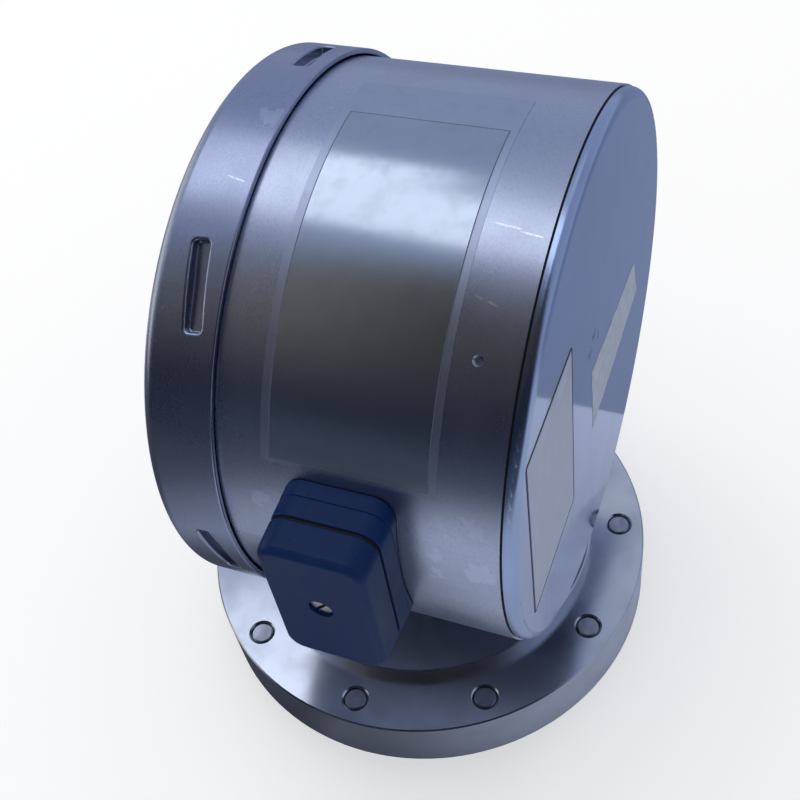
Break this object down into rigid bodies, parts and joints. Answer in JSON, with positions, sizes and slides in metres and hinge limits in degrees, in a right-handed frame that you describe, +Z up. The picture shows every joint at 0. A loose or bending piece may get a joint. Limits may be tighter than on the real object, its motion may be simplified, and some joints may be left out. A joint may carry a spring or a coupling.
{
  "type": "pressure transmitter",
  "caption": "Low pressure transmitter: round steel case with a bayonet ring and a side connector on a diaphragm flange with a process port.",
  "frame": {"origin": "centre of the process port in the base face of the lower flange", "axes": "+Z up along the stem, Y along the case axis with the bayonet ring at -Y, +X towards the connector"},
  "size_m": [0.1805, 0.162, 0.2146],
  "materials": {
    "turned_steel": "turned, satin",
    "sheet_steel": "drawn sheet, satin to bright",
    "screw_steel": "plain",
    "seal_rubber": "matte",
    "moulded_plastic": "moulded, satin",
    "plain_aluminium": "plain",
    "plain_brass": "plain",
    "coil_resin": "matte",
    "board_laminate": "satin",
    "potting_resin": "matte"
  },
  "bodies": {
    "root": {"base_screws": "screw_steel", "board_screws": "screw_steel", "cable_grommet": "seal_rubber", "case": "sheet_steel", "circuit_board": "board_laminate", "coil": "coil_resin", "coil_bracket": "plain_aluminium", "connector_base": "moulded_plastic", "connector_cap": "moulded_plastic", "connector_gasket": "seal_rubber", "connector_housing": "moulded_plastic", "connector_screw": "screw_steel", "diaphragm": "turned_steel", "flange_screws": "screw_steel", "flange_seal": "seal_rubber", "front_cover": "sheet_steel", "front_gasket": "seal_rubber", "lower_flange": "turned_steel", "mounting_plate": "plain_aluminium", "plate_screws": "screw_steel", "rear_cover": "sheet_steel", "rear_seal": "seal_rubber", "standoffs": "plain_brass", "stem": "turned_steel", "stem_block": "plain_aluminium", "stem_nut": "turned_steel", "terminal_block": "moulded_plastic", "terminal_screws": "plain_brass", "transmitter_module": "potting_resin", "upper_flange": "turned_steel"},
    "ring": {"bayonet_ring": "sheet_steel"},
    "rod": {"armature": "turned_steel"}
  },
  "joints": [
    {"name": "ring_twist", "type": "hinge", "parent": "root", "child": "ring", "pos_m": [0, -0.025, 0.132], "axis": [0, -1, 0], "range_deg": [0, 18]},
    {"name": "rod_lift", "type": "slide", "parent": "root", "child": "rod", "axis": [0, 0, 1], "range_m": [0, 0.0006], "stiffness_N_per_m": 2000}
  ]
}
